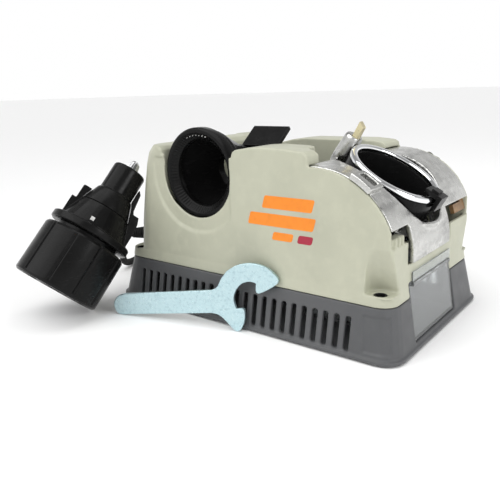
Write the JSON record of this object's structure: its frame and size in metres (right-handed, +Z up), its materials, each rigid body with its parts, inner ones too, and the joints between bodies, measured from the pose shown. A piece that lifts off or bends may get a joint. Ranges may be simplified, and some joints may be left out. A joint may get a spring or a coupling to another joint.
{
  "type": "drill bit sharpener",
  "caption": "Bench-top electric drill bit sharpener with alignment port, tilting sharpening port, debris tray, loose bit chuck and flat spanner.",
  "frame": {"origin": "centre of the base's underside", "axes": "+X along the machine to its sharpening port, +Z up, the front faces -Y"},
  "size_m": [0.3142, 0.3576, 0.1418],
  "materials": {
    "housing_beige": "fine-textured moulded plastic",
    "base_grey": "fine-textured moulded plastic",
    "gloss_black": "glossy moulded plastic",
    "black_plastic": "satin moulded plastic",
    "soft_rubber": "matt rubber",
    "cast_alloy": "die-cast, polished edge",
    "chrome_trim": "mirror plated",
    "bright_steel": "ground",
    "black_oxide": "blackened screw steel",
    "zinc_steel": "zinc plated",
    "copper_winding": "wound copper",
    "brass_pin": "turned",
    "wear_strip_tan": "phenolic strip",
    "clear_tray": "clear moulded plastic",
    "diamond_grit": "plated diamond grit"
  },
  "bodies": {
    "machine": {"base_tray": "base_grey", "rubber_foot_1": "soft_rubber", "rubber_foot_2": "soft_rubber", "rubber_foot_3": "soft_rubber", "rubber_foot_4": "soft_rubber", "housing_screw_1": "black_oxide", "housing_screw_2": "black_oxide", "housing_screw_3": "black_oxide", "housing_screw_4": "black_oxide", "upper_housing": "housing_beige", "motor_can": "bright_steel", "motor_end_bell": "black_plastic", "front_bearing": "bright_steel", "rear_bearing": "bright_steel", "carbon_brush_front": "soft_rubber", "carbon_brush_back": "soft_rubber", "motor_cradle": "base_grey", "wear_strip_front": "wear_strip_tan", "wear_strip_back": "wear_strip_tan", "alignment_tube": "gloss_black", "inner_deck": "black_plastic", "lever_bracket": "black_plastic", "lever_pin": "bright_steel", "lever_spring": "bright_steel", "switch_bezel": "black_plastic", "strain_relief": "soft_rubber", "power_cord": "soft_rubber", "cord_coil": "soft_rubber", "plug_body": "soft_rubber"},
    "rotor": {"rotor_shaft": "bright_steel", "armature": "copper_winding", "commutator": "copper_winding", "cooling_fan": "black_plastic", "wheel_hub": "bright_steel", "diamond_wheel": "diamond_grit", "wheel_retainer": "bright_steel"},
    "port_head": {"saddle_casting": "cast_alloy", "chrome_ring": "chrome_trim", "port_sleeve": "gloss_black", "follower_pin": "brass_pin", "guide_tab": "gloss_black", "angle_scale_plate": "bright_steel", "lock_stud": "bright_steel"},
    "lock_knob": {"lock_knob": "black_plastic"},
    "alignment_ring": {"alignment_ring": "gloss_black"},
    "timing_lever": {"timing_lever": "gloss_black"},
    "claw_left": {"timing_claw_left": "bright_steel"},
    "claw_right": {"timing_claw_right": "bright_steel"},
    "debris_tray": {"debris_tray": "clear_tray"},
    "power_rocker": {"power_rocker": "black_plastic"},
    "chuck": {"chuck_body": "gloss_black", "chuck_cam": "gloss_black"},
    "chuck_knob": {"chuck_knob": "black_plastic"},
    "spanner": {"flat_spanner": "zinc_steel"},
    "jaw_1": {"jaw_1": "bright_steel"},
    "jaw_2": {"jaw_2": "bright_steel"},
    "jaw_3": {"jaw_3": "bright_steel"},
    "jaw_4": {"jaw_4": "bright_steel"},
    "jaw_5": {"jaw_5": "bright_steel"},
    "jaw_6": {"jaw_6": "bright_steel"}
  },
  "joints": [
    {"name": "rotor_spin", "type": "hinge", "parent": "machine", "child": "rotor", "pos_m": [0, -0.008, 0.041], "axis": [1, 0, 0], "continuous": true},
    {"name": "port_tilt", "type": "hinge", "parent": "machine", "child": "port_head", "pos_m": [0.061, -0.008, 0.06], "axis": [0, -1, 0], "range_deg": [0, 10]},
    {"name": "lock_knob_turn", "type": "hinge", "parent": "port_head", "child": "lock_knob", "pos_m": [0.07605, -0.008, 0.10135], "axis": [0, 1, 0], "range_deg": [0, 270]},
    {"name": "alignment_ring_turn", "type": "hinge", "parent": "machine", "child": "alignment_ring", "pos_m": [-0.0379, -0.062, 0.1069], "axis": [0, 1, 0], "range_deg": [-10, 10]},
    {"name": "timing_lever_press", "type": "hinge", "parent": "machine", "child": "timing_lever", "pos_m": [0, -0.013, 0.1155], "axis": [-1, 0, 0], "range_deg": [0, 18], "stiffness_Nm_per_rad": 0.02, "springref_deg": -20.05},
    {"name": "claw_left_slide", "type": "slide", "parent": "machine", "child": "claw_left", "axis": [-1, 0, 0], "range_m": [0, 0.0025]},
    {"name": "claw_right_slide", "type": "slide", "parent": "machine", "child": "claw_right", "axis": [1, 0, 0], "range_m": [0, 0.0025]},
    {"name": "debris_tray_slide", "type": "slide", "parent": "machine", "child": "debris_tray", "axis": [1, 0, 0], "range_m": [0, 0.07]},
    {"name": "power_rocker_tilt", "type": "hinge", "parent": "machine", "child": "power_rocker", "pos_m": [-0.06, 0.0695, 0.063], "axis": [1, 0, 0], "range_deg": [0, 14]},
    {"name": "chuck_lift", "type": "slide", "parent": "machine", "child": "chuck", "axis": [0, 0, 1], "range_m": [0, 0.12]},
    {"name": "chuck_knob_turn", "type": "hinge", "parent": "chuck", "child": "chuck_knob", "pos_m": [-0.1246, -0.1394, 0.02244], "axis": [0.1099, 0.664, 0.7396], "range_deg": [0, 1080]},
    {"name": "spanner_lift", "type": "slide", "parent": "machine", "child": "spanner", "axis": [0.7071, 0, 0.7071], "range_m": [0, 0.12]},
    {"name": "jaw_1_slide", "type": "slide", "parent": "chuck", "child": "jaw_1", "axis": [0.9931, -0.042, -0.1099], "range_m": [0, 0.0062]},
    {"name": "jaw_2_slide", "type": "slide", "parent": "chuck", "child": "jaw_2", "axis": [0.4602, 0.6256, -0.63], "range_m": [0, 0.0062]},
    {"name": "jaw_3_slide", "type": "slide", "parent": "chuck", "child": "jaw_3", "axis": [-0.5329, 0.6675, -0.5201], "range_m": [0, 0.0062]},
    {"name": "jaw_4_slide", "type": "slide", "parent": "chuck", "child": "jaw_4", "axis": [-0.9931, 0.042, 0.1099], "range_m": [0, 0.0062]},
    {"name": "jaw_5_slide", "type": "slide", "parent": "chuck", "child": "jaw_5", "axis": [-0.4602, -0.6256, 0.63], "range_m": [0, 0.0062]},
    {"name": "jaw_6_slide", "type": "slide", "parent": "chuck", "child": "jaw_6", "axis": [0.5329, -0.6675, 0.5201], "range_m": [0, 0.0062]}
  ],
  "couplings": [
    {"joint": "claw_left_slide", "follows": "timing_lever_press", "m_per_rad": 0.0075},
    {"joint": "claw_right_slide", "follows": "timing_lever_press", "m_per_rad": 0.0075},
    {"joint": "jaw_1_slide", "follows": "chuck_knob_turn", "m_per_rad": 0.000318},
    {"joint": "jaw_2_slide", "follows": "chuck_knob_turn", "m_per_rad": 0.000318},
    {"joint": "jaw_3_slide", "follows": "chuck_knob_turn", "m_per_rad": 0.000318},
    {"joint": "jaw_4_slide", "follows": "chuck_knob_turn", "m_per_rad": 0.000318},
    {"joint": "jaw_5_slide", "follows": "chuck_knob_turn", "m_per_rad": 0.000318},
    {"joint": "jaw_6_slide", "follows": "chuck_knob_turn", "m_per_rad": 0.000318}
  ]
}
